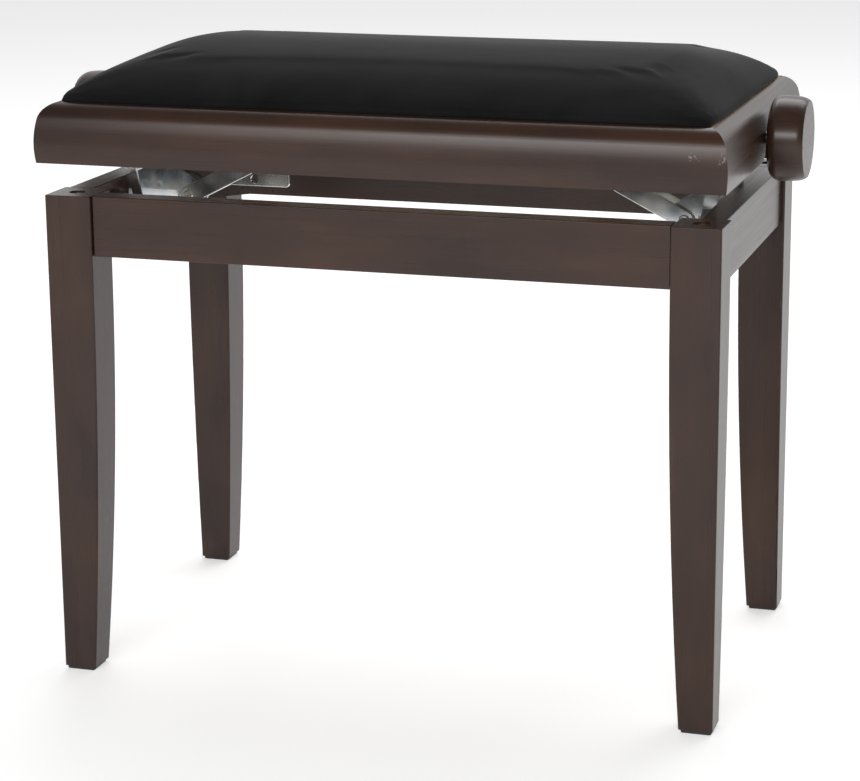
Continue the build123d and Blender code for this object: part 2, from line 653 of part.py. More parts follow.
tab_x = TAB_OUTER + TAB_LENGTH / 2
tab_z = TAB_BOTTOM + TAB_WIDTH / 2
with BuildPart() as tab:
    with BuildSketch(side_plane(-ARM_INSIDE + TAB_STEP)):
        with Locations((tab_x, tab_z)):
            RectangleRounded(TAB_LENGTH, TAB_WIDTH, TAB_CORNER)
    extrude(amount=ARM_OUTSIDE - ARM_INSIDE)
    fillet(tab.edges().group_by(Axis.Y)[0] + tab.edges().group_by(Axis.Y)[-1], PLATE_EDGE)
    add(make_holes(TAB_HOLE_RADIUS, [TAB_HOLE]), mode=Mode.SUBTRACT)

for name, end in ENDS.items():
    with BuildPart() as nut_blank:
        with Locations((nut_x, 0, SPINDLE_HEIGHT)):
            Box(NUT_LENGTH, 2 * NUT_HALF_WIDTH, NUT_HEIGHT)
        chamfer(nut_blank.edges().filter_by(Axis.Y), 2.0)
        with BuildSketch(along_x(nut_x - NUT_LENGTH, 0, SPINDLE_HEIGHT, 1)):
            Circle(SPINDLE_DIAMETER / 2 + RUNNING_FIT)
        extrude(amount=2 * NUT_LENGTH, mode=Mode.SUBTRACT)
    with BuildPart() as nut:
        mirrored_to(nut_blank.part.mirror(Plane.YZ), end, -1)
    save(nut, f"{name}_nut")

    for side_name, side in SIDES.items():
        with BuildPart() as arm_blank:
            add(make_bar(base_pivot, nut_pivot, ARM_WIDTH, side * ARM_INSIDE, side * ARM_OUTSIDE))
            if end < 0 and side < 0:
                add(tab.part)
            add(make_holes(PIVOT_PIN / 2, [base_pivot, nut_pivot]), mode=Mode.SUBTRACT)
        with BuildPart() as arm:
            mirrored_to(arm_blank.part.mirror(Plane.YZ), end, -1)
        save(arm, f"{name}_{side_name}_arm")

        with BuildPart() as link_blank:
            add(make_bar(link_pivot, middle_pivot, LINK_WIDTH, side * LINK_INSIDE, side * LINK_OUTSIDE))
            add(make_holes(PIVOT_PIN / 2, [link_pivot, middle_pivot]), mode=Mode.SUBTRACT)
        with BuildPart() as link:
            mirrored_to(link_blank.part.mirror(Plane.YZ), end, -1)
        save(link, f"{name}_{side_name}_link")

    with BuildPart() as arm_pins_blank:
        for side in SIDES.values():
            add(make_rivet(*base_pivot, side * ARM_OUTSIDE, 0))
            add(make_rivet(*nut_pivot, side * ARM_OUTSIDE, side * ARM_INSIDE))
    with BuildPart() as arm_pins:
        mirrored_to(arm_pins_blank.part.mirror(Plane.YZ), end, -1)
    save(arm_pins, f"{name}_arm_pins")

    with BuildPart() as link_pins_blank:
        for side in SIDES.values():
            add(make_rivet(*link_pivot, side * LINK_OUTSIDE, side * ARM_INSIDE))
            add(make_rivet(*middle_pivot, side * LINK_OUTSIDE, side * LINK_INSIDE))
    with BuildPart() as link_pins:
        mirrored_to(link_pins_blank.part.mirror(Plane.YZ), end, -1)
    save(link_pins, f"{name}_link_pins")
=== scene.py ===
# %% [markdown]
# # An adjustable piano bench
# The bench is a stained beech frame on four tapered legs. Its seat rides up and down on a threaded
# spindle that pushes two pairs of steel arms. The wood and the steel parts come ready made from the
# CAD frame, in metres. This lesson dresses them: it gives every part the finish that it has in a
# workshop, and makes the pieces that CAD leaves plain, which are the velvet pad and the thread of the
# spindle.

import json
import math

import bmesh
import bpy
import numpy as np
from mathutils import Matrix, Vector


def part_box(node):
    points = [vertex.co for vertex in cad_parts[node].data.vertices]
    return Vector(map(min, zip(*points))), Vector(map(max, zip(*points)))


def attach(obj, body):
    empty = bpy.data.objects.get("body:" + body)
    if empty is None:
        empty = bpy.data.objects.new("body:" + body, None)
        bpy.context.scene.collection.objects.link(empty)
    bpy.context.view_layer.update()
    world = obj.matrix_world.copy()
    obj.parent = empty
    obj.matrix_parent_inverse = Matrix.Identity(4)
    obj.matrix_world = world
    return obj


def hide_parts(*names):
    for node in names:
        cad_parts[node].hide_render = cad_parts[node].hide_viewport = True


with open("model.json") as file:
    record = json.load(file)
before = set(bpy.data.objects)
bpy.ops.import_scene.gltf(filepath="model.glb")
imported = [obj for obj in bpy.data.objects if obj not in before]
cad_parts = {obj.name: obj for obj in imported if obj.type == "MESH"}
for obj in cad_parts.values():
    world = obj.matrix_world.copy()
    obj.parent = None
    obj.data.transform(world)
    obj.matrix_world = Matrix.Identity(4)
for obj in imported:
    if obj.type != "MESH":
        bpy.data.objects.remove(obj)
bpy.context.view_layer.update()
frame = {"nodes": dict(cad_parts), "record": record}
MM = 0.001

# %% [markdown]
# ## Small helpers
# Colours are picked as sRGB hex values, as on a paint card, but Blender's shaders count in linear
# light, so one function converts them. A second function adds a shader node with its settings and
# its links in one line, which keeps each material as short as its description. A third turns arrays
# of points and faces into a mesh, because every new shape here is worked out with numpy.


# %% Helper: paint-card colour to linear light
def linear(hex_colour):
    """sRGB hex to linear RGBA: the piecewise sRGB curve, undone channel by channel."""
    srgb = np.array([int(hex_colour[i:i + 2], 16) for i in (1, 3, 5)]) / 255
    light = np.where(srgb <= 0.04045, srgb / 12.92, ((srgb + 0.055) / 1.055) ** 2.4)
    return (*light.tolist(), 1.0)


# %% Helper: add one node, with its settings and its links
def add(tree, kind, inputs=None, **settings):
    """Add a node. An input is given as a value, or as another node's output socket to link from."""
    node = tree.nodes.new(kind)
    for name, value in settings.items():
        setattr(node, name, value)
    for socket, value in (inputs or {}).items():
        if isinstance(value, bpy.types.NodeSocket):
            tree.links.new(value, node.inputs[socket])
        else:
            node.inputs[socket].default_value = value
    return node


# %% Helper: a new material with its constant values on the shader itself
def new_material(name, **constants):
    """Principled material. Keyword names are socket names with _ for a space."""
    material = bpy.data.materials.new(name)
    material.use_nodes = True
    shader = material.node_tree.nodes["Principled BSDF"]
    for socket, value in constants.items():
        shader.inputs[socket.replace("_", " ")].default_value = value
    return material, material.node_tree, shader


# %% Helper: arrays to a mesh object
def make_piece(name, points, faces, material, smooth=True):
    """Mesh object at the origin whose vertices are the rows of points."""
    mesh = bpy.data.meshes.new(name)
    mesh.from_pydata(np.asarray(points).reshape(-1, 3).tolist(), [], [list(f) for f in faces])
    mesh.polygons.foreach_set("use_smooth", [smooth] * len(mesh.polygons))
    mesh.materials.append(material)
    mesh.update()
    piece = bpy.data.objects.new(name, mesh)
    bpy.context.scene.collection.objects.link(piece)
    return piece


def grid_faces(rows, columns, closed_columns=False):
    """Quads of a rows x columns grid of points. closed_columns joins the last column to the first."""
    index = np.arange(rows * columns).reshape(rows, columns)
    right = np.roll(index, -1, axis=1)
    quads = np.stack([index[:-1], index[1:], right[1:], right[:-1]], axis=-1)
    if not closed_columns:
        quads = quads[:, :-1]
    return quads.reshape(-1, 4)


# %% [markdown]
# ## Camera
# The bench is seen a little from the right and from above, with a long lens from about two metres,
# which keeps the legs nearly parallel. The camera's axes are built from its heading, its height
# angle and a slight roll, and go into its matrix as columns.

# %% Camera
CAMERA_PLACE = Vector((0.59938, -1.91941, 0.74111))
CAMERA_HEADING = math.radians(15.854)       # how far right of the front
CAMERA_HEIGHT_ANGLE = math.radians(13.466)
CAMERA_ROLL = math.radians(-0.104)

backwards = Vector((
    math.sin(CAMERA_HEADING) * math.cos(CAMERA_HEIGHT_ANGLE),
    -math.cos(CAMERA_HEADING) * math.cos(CAMERA_HEIGHT_ANGLE),
    math.sin(CAMERA_HEIGHT_ANGLE),
))
level_right = Vector((0, 0, 1)).cross(backwards).normalized()
level_up = backwards.cross(level_right)
right = level_right * math.cos(CAMERA_ROLL) + level_up * math.sin(CAMERA_ROLL)
up = level_up * math.cos(CAMERA_ROLL) - level_right * math.sin(CAMERA_ROLL)

camera_data = bpy.data.cameras.new("studio_camera")
camera_data.lens = 104.30
camera_data.sensor_width = 36.0
camera_data.shift_x = -0.0783
camera_data.shift_y = -0.0614
camera_data.clip_end = 50
camera = bpy.data.objects.new("studio_camera", camera_data)
turn = Matrix((right, up, backwards)).transposed().to_4x4()
camera.matrix_world = Matrix.Translation(CAMERA_PLACE) @ turn
bpy.context.scene.collection.objects.link(camera)
bpy.context.scene.camera = camera
print("camera looks along", [round(v, 3) for v in -backwards])

# %% [markdown]
# ## Studio: floor, sky and soft boxes
# A catalogue studio is white all round, and dark satin wood mostly shows what it mirrors. So the
# surroundings matter more than the amount of light: a white floor and sky give the soft grey sheen
# on the faces that turn away. The paper is lit through from below, as on a product table, so it
# stays white. The sky darkens towards the front, where the studio is open, so that the front faces
# keep their brown. One long soft box low in front draws the bright line along the rounded edge of
# the seat rails. The standard view transform keeps white paper white.

# %% Floor
bpy.context.scene.view_settings.view_transform = "Standard"
FLOOR_HALF = 30.0
floor_material, _, _ = new_material(
    "studio_floor_lit_white_paper", Base_Color=linear("#dcdcdc"), Roughness=0.9, Specular_IOR_Level=0.1,
    Emission_Color=linear("#ffffff"), Emission_Strength=0.46,
)
floor_corners = [(-FLOOR_HALF, -FLOOR_HALF, 0), (FLOOR_HALF, -FLOOR_HALF, 0),
                 (FLOOR_HALF, FLOOR_HALF, 0), (-FLOOR_HALF, FLOOR_HALF, 0)]
floor = make_piece("studio_floor", floor_corners, [(0, 1, 2, 3)], floor_material)

# %% Sky
SKY_BEHIND = 1.0
SKY_IN_FRONT = 0.17
world = bpy.data.worlds.new("studio_sky")
bpy.context.scene.world = world
world.use_nodes = True
sky = world.node_tree
direction = add(sky, "ShaderNodeTexCoord").outputs["Generated"]
depth = add(sky, "ShaderNodeSeparateXYZ", {"Vector": direction}).outputs["Y"]
brightness = add(sky, "ShaderNodeMapRange", {
    "Value": depth, "From Min": 0.0, "From Max": 0.6, "To Min": SKY_IN_FRONT, "To Max": SKY_BEHIND,
})
background = sky.nodes["Background"]
sky.links.new(brightness.outputs["Result"], background.inputs["Strength"])
background.inputs["Color"].default_value = linear("#ffffff")


# %% Soft boxes
def soft_box(name, place, target, width, height, power):
    """Rectangular area light at place, turned to face target."""
    data = bpy.data.lights.new(name, "AREA")
    data.shape = "RECTANGLE"
    data.size, data.size_y, data.energy = width, height, power
    box = bpy.data.objects.new(name, data)
    aim = (Vector(target) - Vector(place)).to_track_quat("-Z", "Y")
    box.matrix_world = Matrix.Translation(place) @ aim.to_matrix().to_4x4()
    bpy.context.scene.collection.objects.link(box)
    return box


seat_middle = (0, 0, 0.45)
soft_box("front_strip", (0.1, -2.6, 1.22), seat_middle, 2.6, 0.30, 56)
soft_box("overhead", (0, 1.9, 3.0), (0, 0.5, 0), 3.0, 1.8, 60)

# %% [markdown]
# ## Stained beech under satin lacquer
# The frame is beech, stained dark walnut and sprayed with satin lacquer. Beech is a quiet wood: the
# eye sees long faint streaks a few millimetres wide, short dark flecks, and clouds where the stain
# soaked in unevenly. The lacquer adds a soft sheen with a very shallow orange-peel swell. Painting
# this by hand on an image would need unwrapping every part, so it is built from noise that is
# stretched along the grain, in object coordinates, once for each direction of grain.


# %% Stained beech
CLOUD = (130 * MM, 40 * MM)         # length along the grain and width across it
STREAK = (200 * MM, 4.5 * MM)
FLECK = (10 * MM, 1.1 * MM)
PEEL_SWELLS = 260.0                 # swells of the sprayed lacquer in one metre
DENT_REACH = 10 * MM
DENT_CHIP = 2.2 * MM


def stained_beech(name, along, dents=()):
    """Stretched noise in three sizes: stain clouds, growth streaks and pore flecks.

    along is the grain's direction, as 0, 1 or 2 for X, Y or Z. A pattern's size along the grain is
    its length in metres, and across the grain its width, so the noise is scaled by one over each.
    dents are places where knocks have bruised the lacquer: near each, coarse noise turns it pale.
    """
    material, tree, shader = new_material(name, IOR=1.47, Specular_IOR_Level=0.36)
    place = add(tree, "ShaderNodeTexCoord").outputs["Object"]

    def grain(length, width, detail, roughness=0.5):
        scale = [1 / width] * 3
        scale[along] = 1 / length
        stretched = add(tree, "ShaderNodeMapping", {"Vector": place, "Scale": scale})
        return add(tree, "ShaderNodeTexNoise", {
            "Vector": stretched.outputs[0], "Scale": 1.0, "Detail": detail, "Roughness": roughness,
        }).outputs["Fac"]

    clouds = grain(*CLOUD, 3.0)
    streaks = grain(*STREAK, 5.0, 0.62)
    flecks = grain(*FLECK, 2.0)
    stain = add(tree, "ShaderNodeValToRGB", {"Fac": clouds})
    stain.color_ramp.elements[0].position = 0.34
    stain.color_ramp.elements[0].color = linear("#291b16")
    stain.color_ramp.elements[1].position = 0.70
    stain.color_ramp.elements[1].color = linear("#3a261c")
    streak_tone = add(tree, "ShaderNodeMapRange", {
        "Value": streaks, "From Min": 0.3, "From Max": 0.7, "To Min": 0.90, "To Max": 1.09,
    })
    streaked = add(tree, "ShaderNodeMix", {
        "Factor": 1.0, "A": stain.outputs["Color"], "B": streak_tone.outputs["Result"],
    }, data_type="RGBA", blend_type="MULTIPLY")
    fleck_mask = add(tree, "ShaderNodeMapRange", {
        "Value": flecks, "From Min": 0.60, "From Max": 0.72, "To Min": 0.0, "To Max": 0.22,
    })
    flecked = add(tree, "ShaderNodeMix", {
        "Factor": fleck_mask.outputs["Result"], "A": streaked.outputs[2], "B": linear("#150c0a"),
    }, data_type="RGBA")
    colour = flecked.outputs[2]
    for centre in dents:
        far = add(tree, "ShaderNodeVectorMath", {0: place, 1: centre}, operation="DISTANCE")
        near = add(tree, "ShaderNodeMapRange", {
            "Value": far.outputs["Value"], "From Max": DENT_REACH, "To Min": 0.62, "To Max": 0.30,
        })
        chips = add(tree, "ShaderNodeTexNoise", {"Vector": place, "Scale": 1 / DENT_CHIP, "Detail": 1.0})
        closeness = add(tree, "ShaderNodeMath", {
            0: chips.outputs["Fac"], 1: near.outputs["Result"],
        }, operation="MULTIPLY")
        bruise = add(tree, "ShaderNodeMapRange", {
            "Value": closeness.outputs[0], "From Min": 0.30, "From Max": 0.34, "To Max": 0.55,
        })
        colour = add(tree, "ShaderNodeMix", {
            "Factor": bruise.outputs["Result"], "A": colour, "B": linear("#85776f"),
        }, data_type="RGBA").outputs[2]
    tree.links.new(colour, shader.inputs["Base Color"])
    gloss = add(tree, "ShaderNodeMapRange", {
        "Value": streaks, "From Min": 0.3, "From Max": 0.7, "To Min": 0.26, "To Max": 0.32,
    })
    tree.links.new(gloss.outputs["Result"], shader.inputs["Roughness"])
    peel = add(tree, "ShaderNodeTexNoise", {"Vector": place, "Scale": PEEL_SWELLS, "Detail": 1.0})
    swell = add(tree, "ShaderNodeBump", {
        "Height": peel.outputs["Fac"], "Strength": 0.12, "Distance": 0.1 * MM,
    })
    pores = add(tree, "ShaderNodeBump", {
        "Height": streaks, "Strength": 0.15, "Distance": 0.12 * MM, "Normal": swell.outputs["Normal"],
    })
    tree.links.new(pores.outputs["Normal"], shader.inputs["Normal"])
    return material


beech = {axis: stained_beech(f"stained_beech_grain_{axis}", i) for i, axis in enumerate("xyz")}
rail_low, rail_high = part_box("front_seat_rail")
KNOCKS_IN = (27 * MM, 5 * MM)        # in from the right end of the front rail
KNOCKS_DOWN = (20 * MM, 21 * MM)     # down from its crest
knocks = [(rail_high.x - side, rail_low.y, rail_high.z - down)
          for side, down in zip(KNOCKS_IN, KNOCKS_DOWN)]
beech["knocked"] = stained_beech("stained_beech_knocked", 0, knocks)
print("wood finishes:", sorted(m.name for m in beech.values()))

# %% [markdown]
# ## Birch plywood
# The seat board is birch plywood: its faces show pale long figure, and its edge the stripes of its
# crossed veneers. A wave of one veneer's thickness along Z makes those stripes, and on the faces it
# is one even tone because the board lies flat.

# %% Birch plywood
VENEER = 1.5 * MM


def birch_plywood(name):
    """Face figure from stretched noise, times light and dark veneers stacked along Z."""
    material, tree, shader = new_material(name, Roughness=0.6, IOR=1.45)
    place = add(tree, "ShaderNodeTexCoord").outputs["Object"]
    stretched = add(tree, "ShaderNodeMapping", {"Vector": place, "Scale": (5, 110, 110)})
    figure = add(tree, "ShaderNodeTexNoise", {"Vector": stretched.outputs[0], "Scale": 1, "Detail": 5})
    tone = add(tree, "ShaderNodeValToRGB", {"Fac": figure.outputs["Fac"]})
    tone.color_ramp.elements[0].position = 0.3
    tone.color_ramp.elements[0].color = linear("#b08a5e")
    tone.color_ramp.elements[1].position = 0.72
    tone.color_ramp.elements[1].color = linear("#d9b98d")
    # one wave is a light and a dark veneer; Blender's wave turns by 20 radians per unit of scale
    wave_scale = 2 * math.pi / (20 * 2 * VENEER)
    veneers = add(tree, "ShaderNodeTexWave", {"Vector": place, "Scale": wave_scale}, bands_direction="Z")
    shade = add(tree, "ShaderNodeMapRange", {"Value": veneers.outputs["Fac"], "To Min": 0.72})
    layered = add(tree, "ShaderNodeMix", {
        "Factor": 1.0, "A": tone.outputs["Color"], "B": shade.outputs["Result"],
    }, data_type="RGBA", blend_type="MULTIPLY")
    tree.links.new(layered.outputs[2], shader.inputs["Base Color"])
    return material


plywood = birch_plywood("birch_plywood")

# %% [markdown]
# ## Zinc-plated sheet steel
# The lift is stamped from sheet steel and plated with bright zinc. Such plating is a cool silver
# with a faint blue cast, cloudy where the bath was uneven, and it keeps fine drag lines from the
# press. It is nearly a mirror, but a soft one, so its look comes from roughness that drifts between
# satin and bright.


# %% Plated steel
def plated_steel(name):
    """Metal whose tint and roughness drift with large noise, over fine drag lines in the bump."""
    material, tree, shader = new_material(name, Metallic=1.0)
    place = add(tree, "ShaderNodeTexCoord").outputs["Object"]
    bath = add(tree, "ShaderNodeTexNoise", {"Vector": place, "Scale": 38.0, "Detail": 2.0})
    tint = add(tree, "ShaderNodeValToRGB", {"Fac": bath.outputs["Fac"]})
    tint.color_ramp.elements[0].position = 0.35
    tint.color_ramp.elements[0].color = linear("#b4bbc1")
    tint.color_ramp.elements[1].position = 0.68
    tint.color_ramp.elements[1].color = linear("#dcdcd6")
    tree.links.new(tint.outputs["Color"], shader.inputs["Base Color"])
    gloss = add(tree, "ShaderNodeMapRange", {
        "Value": bath.outputs["Fac"], "From Min": 0.3, "From Max": 0.7, "To Min": 0.16, "To Max": 0.26,
    })
    tree.links.new(gloss.outputs["Result"], shader.inputs["Roughness"])
    stretched = add(tree, "ShaderNodeMapping", {"Vector": place, "Scale": (60, 900, 900)})
    drag = add(tree, "ShaderNodeTexNoise", {"Vector": stretched.outputs[0], "Scale": 1, "Detail": 3})
    lines = add(tree, "ShaderNodeBump", {
        "Height": drag.outputs["Fac"], "Strength": 0.08, "Distance": 0.03 * MM,
    })
    tree.links.new(lines.outputs["Normal"], shader.inputs["Normal"])
    return material


# %% Turned steel, brass and bronze
def turned_metal(name, dark, light, low, high):
    """Metal with cloudy tone between two colours and roughness between low and high."""
    material, tree, shader = new_material(name, Metallic=1.0)
    place = add(tree, "ShaderNodeTexCoord").outputs["Object"]
    cloud = add(tree, "ShaderNodeTexNoise", {"Vector": place, "Scale": 140.0, "Detail": 5.0})
    tone = add(tree, "ShaderNodeValToRGB", {"Fac": cloud.outputs["Fac"]})
    tone.color_ramp.elements[0].position = 0.35
    tone.color_ramp.elements[0].color = linear(dark)
    tone.color_ramp.elements[1].position = 0.65
    tone.color_ramp.elements[1].color = linear(light)
    tree.links.new(tone.outputs["Color"], shader.inputs["Base Color"])
    gloss = add(tree, "ShaderNodeMapRange", {
        "Value": cloud.outputs["Fac"], "From Min": 0.3, "From Max": 0.7, "To Min": low, "To Max": high,
    })
    tree.links.new(gloss.outputs["Result"], shader.inputs["Roughness"])
    return material


zinc = plated_steel("zinc_plated_sheet_steel")
bright_steel = turned_metal("rolled_thread_bright_steel", "#8f9294", "#c9cacb", 0.22, 0.34)
brass = turned_metal("turned_brass", "#9c6a33", "#d09a55", 0.28, 0.45)
bronze = turned_metal("sintered_bronze", "#7d5a38", "#a87b4c", 0.42, 0.58)

# %% [markdown]
# ## Moulded black plastic
# The glides under the feet are moulded polyethylene: a matt black with the fine spark-eroded grain
# of its mould, which breaks the highlight up.

# %% Moulded plastic
GRAIN = 0.35 * MM
black_plastic, tree, shader = new_material(
    "moulded_polyethylene", Base_Color=linear("#161616"), Roughness=0.55, IOR=1.51,
)
place = add(tree, "ShaderNodeTexCoord").outputs["Object"]
mould = add(tree, "ShaderNodeTexNoise", {"Vector": place, "Scale": 1 / GRAIN, "Detail": 2.0})
texture = add(tree, "ShaderNodeBump", {
    "Height": mould.outputs["Fac"], "Strength": 0.3, "Distance": GRAIN / 5,
})
tree.links.new(texture.outputs["Normal"], shader.inputs["Normal"])

# %% [markdown]
# ## Black velvet
# Velvet is a dense pile of short upright fibres. Looked at square on, light falls between the
# fibres and is lost, so it is nearly black. At a shallow angle the fibre tips catch the light, and
# it turns grey. The sheen of the shader does just that. Where a hand has brushed it the pile leans,
# and the tone shifts in cloudy marks, which are painted with large distorted noise in the colour
# and in a shallow bump.


# %% Velvet
PILE = 0.8 * MM         # real pile is about 0.1 mm across, too fine to show, so it is drawn coarser


def cotton_velvet(name):
    """Near-black ground with sheen; brushed marks and pile grain come from two sizes of noise."""
    material, tree, shader = new_material(
        name, Roughness=0.95, IOR=1.45, Specular_IOR_Level=0.15,
        Sheen_Weight=0.15, Sheen_Roughness=0.25, Sheen_Tint=linear("#d2d2d6"),
    )
    place = add(tree, "ShaderNodeTexCoord").outputs["Object"]
    stroked = add(tree, "ShaderNodeMapping", {"Vector": place, "Scale": (11, 17, 17)})
    marks = add(tree, "ShaderNodeTexNoise", {
        "Vector": stroked.outputs[0], "Scale": 1.0, "Detail": 3.0, "Distortion": 0.9,
    })
    pile = add(tree, "ShaderNodeTexNoise", {"Vector": place, "Scale": 1 / PILE, "Detail": 2.0})
    tone = add(tree, "ShaderNodeValToRGB", {"Fac": marks.outputs["Fac"]})
    tone.color_ramp.elements[0].position = 0.32
    tone.color_ramp.elements[0].color = linear("#090909")
    tone.color_ramp.elements[1].position = 0.72
    tone.color_ramp.elements[1].color = linear("#161618")
    tree.links.new(tone.outputs["Color"], shader.inputs["Base Color"])
    leaning = add(tree, "ShaderNodeBump", {
        "Height": marks.outputs["Fac"], "Strength": 0.25, "Distance": 1.2 * MM,
    })
    fibres = add(tree, "ShaderNodeBump", {
        "Height": pile.outputs["Fac"], "Strength": 0.25, "Distance": 0.2 * MM,
        "Normal": leaning.outputs["Normal"],
    })
    tree.links.new(fibres.outputs["Normal"], shader.inputs["Normal"])
    return material


velvet = cotton_velvet("black_cotton_velvet")

# %% [markdown]
# ## Dressing the CAD parts
# A CAD part keeps its shape and only changes its finish. Wood needs the grain to run the long way
# of each part: legs upright, long rails along X, end rails along Y.

# %% Give every CAD part its finish
GRAIN_ALONG = {"front": "x", "back": "x", "left": "y", "right": "y"}
SLOT_FINISH = {
    "plywood": plywood, "velvet": velvet, "brass": brass, "bronze": bronze,
    "black_plastic": black_plastic, "bright_steel": bright_steel, "zinc_steel": zinc,
}
slots = {row["node"]: row["material_slot"] for row in frame["record"]["subparts"]}
for name, part in frame["nodes"].items():
    finish = SLOT_FINISH.get(slots[name])
    if name.endswith("_leg"):
        finish = beech["z"]
    elif name.endswith("_knob"):
        finish = beech["x"]
    elif name == "front_seat_rail":
        finish = beech["knocked"]
    elif slots[name] == "stained_wood":
        finish = beech[GRAIN_ALONG.get(name.split("_")[0], "x")]
    part.data.materials.clear()
    part.data.materials.append(finish)
print("finished parts:", len(slots))

# %% [markdown]
# ## The velvet pad
# The pad is foam under velvet, pulled down over the edge of the board. From the rail it rises in a
# tight lip, climbs at about thirty degrees, breaks softly where the foam's edge is, and crowns
# gently to the middle. It could be sculpted, but a short cloth simulation gives the honest tension
# of a stretched cover: a slightly low starting shape is blown up by a little air, while its bottom
# edge is held on the board.

# %% Starting shape of the pad
pad_low, pad_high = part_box("seat_cushion")
PAD_HALF = (pad_high.x, pad_high.y)
PAD_BASE = pad_low.z
PAD_HEIGHT = pad_high.z - pad_low.z
LIP = 6.5 * MM          # height won in the tight lip at the rail
SLOPE = 17.0 * MM       # height won on the slope over the foam's edge
CROWN = 11.5 * MM       # height won in the gentle crown
LIP_LENGTH = 3.5 * MM
SLOPE_LENGTH = 26 * MM
CROWN_LENGTH = (64 * MM, PAD_HALF[1])
CORNER_SOFTNESS = 7 * MM
START_SHARE = 0.97      # the starting shape's height, as a share of the finished pad's
EDGE_FOLD = 1.5 * MM    # the top starts this far above the board, so that top and bottom stay apart
CORNER_CUT = 0.010      # share by which the outline's corners draw in


def nearer_edge(inset_x, inset_y):
    """Smooth minimum of two distances: minus k times the log of the sum of exp(-distance / k)."""
    total = np.exp(-inset_x / CORNER_SOFTNESS) + np.exp(-inset_y / CORNER_SOFTNESS)
    return np.maximum(-CORNER_SOFTNESS * np.log(total) + CORNER_SOFTNESS * 0.5, 0)


def pad_height(inset_x, inset_y):
    """Share of the full height: a quick exponential lip and a slower exponential slope, both of the
    distance to the nearer edge, and a crown that is the product of a level-out curve each way."""
    inset = nearer_edge(inset_x, inset_y)
    lip = LIP * (1 - np.exp(-inset / LIP_LENGTH))
    slope = SLOPE * (1 - np.exp(-((inset / SLOPE_LENGTH) ** 1.3)))
    level_x = 1 - np.clip(1 - inset_x / CROWN_LENGTH[0], 0, 1) ** 2
    level_y = 1 - np.clip(1 - inset_y / CROWN_LENGTH[1], 0, 1) ** 1.7
    return (lip + slope + CROWN * level_x * level_y) / (LIP + SLOPE + CROWN)


def pad_surface(columns, rows):
    """Closed pad: a crowned top over a flat bottom. The grid is finer near the edges because its
    parameters run through a sine, and a high power of u * v rounds the corners of its outline."""
    across = np.sin(np.linspace(-np.pi / 2, np.pi / 2, columns))
    deep = np.sin(np.linspace(-np.pi / 2, np.pi / 2, rows))
    u, v = np.meshgrid(across, deep, indexing="ij")
    corner = 1 - CORNER_CUT * (u * v) ** 10
    x, y = PAD_HALF[0] * u * corner, PAD_HALF[1] * v * corner
    share = pad_height(PAD_HALF[0] * (1 - np.abs(u)), PAD_HALF[1] * (1 - np.abs(v)))
    top = np.stack([x, y, PAD_BASE + PAD_HEIGHT * START_SHARE * share + EDGE_FOLD], axis=-1)
    bottom = np.stack([x, y, np.full_like(x, PAD_BASE)], axis=-1)
    return top, bottom


def closed_shell(top, bottom):
    """Faces of two equal grids that share no points, joined by a wall round their outlines."""
    rows, columns = top.shape[:2]
    upper = grid_faces(rows, columns)
    lower = grid_faces(rows, columns)[:, ::-1] + rows * columns
    index = np.arange(rows * columns).reshape(rows, columns)
    rim = np.concatenate([index[:-1, 0], index[-1, :-1], index[:0:-1, -1], index[0, :0:-1]])
    after = np.roll(rim, -1)
    wall = np.stack([rim, after, after + rows * columns, rim + rows * columns], axis=-1)
    return np.concatenate([upper, lower, wall])


def make_normals_outward(mesh):
    """Merge doubles and point every face outwards."""
    shape = bmesh.new()
    shape.from_mesh(mesh)
    bmesh.ops.remove_doubles(shape, verts=shape.verts, dist=0.01 * MM)
    bmesh.ops.recalc_face_normals(shape, faces=shape.faces)
    shape.to_mesh(mesh)
    shape.free()


top, bottom = pad_surface(120, 80)
pad = make_piece("velvet_seat_pad", np.concatenate([top.reshape(-1, 3), bottom.reshape(-1, 3)]),
                 closed_shell(top, bottom), velvet)
make_normals_outward(pad.data)
print("pad starts", round((top[..., 2].max() - PAD_BASE) / MM, 1), "mm high")

# %% [markdown]
# ## Blowing up the pad
# The shape is remeshed to even cells, because cloth needs threads of one length. Pressure pushes
# its faces outwards while the stitched bottom is pinned. How far a point may travel is capped, so
# that the pad stays inside its rails.

# %% Cloth simulation
CELL = 4 * MM
PRESSURE = 4.0
STEPS = 20
TRAVEL_CAP = 1.1 * MM
HELD_BELOW = 8 * MM         # the cover is stapled down up to this height above the board


def points_of(mesh):
    """Vertex places of a mesh as an array of rows."""
    places = np.empty(len(mesh.vertices) * 3, np.float32)
    mesh.vertices.foreach_get("co", places)
    return places.reshape(-1, 3).astype(float)


def apply_modifiers(piece):
    """Swap a piece's mesh for the mesh that its modifiers make, and drop the modifiers."""
    depsgraph = bpy.context.evaluated_depsgraph_get()
    baked = bpy.data.meshes.new_from_object(piece.evaluated_get(depsgraph))
    piece.modifiers.clear()
    piece.data = baked


